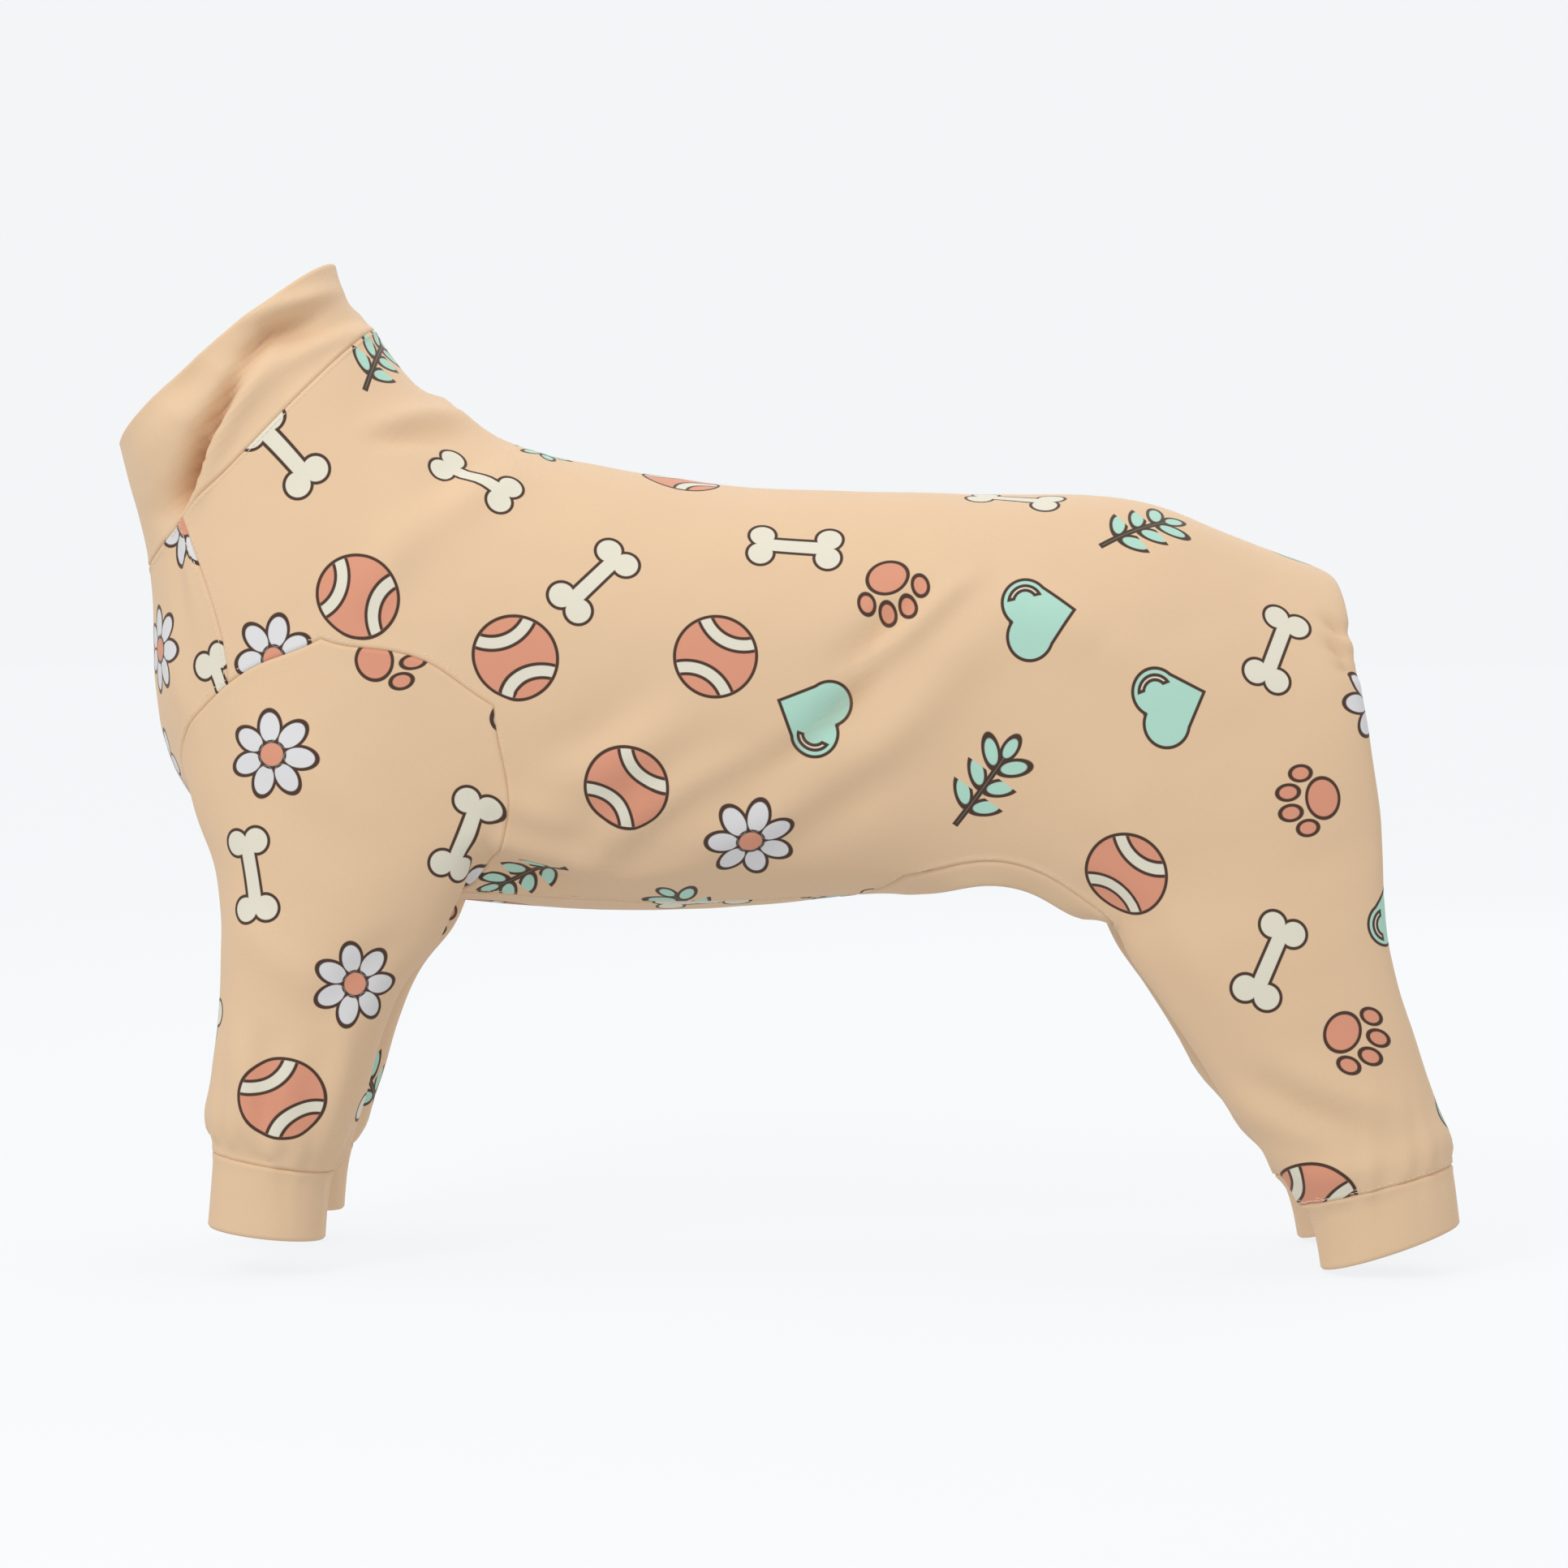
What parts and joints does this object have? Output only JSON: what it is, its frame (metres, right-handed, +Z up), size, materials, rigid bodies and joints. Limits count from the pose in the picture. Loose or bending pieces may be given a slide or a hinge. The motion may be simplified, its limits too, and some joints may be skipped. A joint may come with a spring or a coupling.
{
  "type": "dog jumpsuit",
  "caption": "Stretchy all-over-print dog jumpsuit with a turtleneck collar, sleeves and hind legs ending in plain cuffs, and an open bound edge under the belly and tail, shaped as worn.",
  "frame": {"origin": "on the inner face of the back, on the centre plane, about a third of the back's length behind the collar, where the jumpsuit lies on the dog", "axes": "+X towards the tail, +Z up, -Y is the dog's left side"},
  "size_m": [0.6933, 0.1976, 0.5183],
  "materials": {
    "printed_jersey": "matt cotton jersey with an all-over print",
    "plain_jersey": "matt plain cotton jersey, doubled"
  },
  "bodies": {
    "root": {"collar": "plain_jersey", "chest_panel": "printed_jersey", "body_panel": "printed_jersey", "rump_panel": "printed_jersey", "sleeve_left": "printed_jersey", "sleeve_right": "printed_jersey", "hind_leg_left": "printed_jersey", "hind_leg_right": "printed_jersey", "opening_binding": "plain_jersey", "cuff_front_left": "plain_jersey", "cuff_front_right": "plain_jersey", "cuff_hind_left": "plain_jersey", "cuff_hind_right": "plain_jersey"}
  },
  "joints": []
}
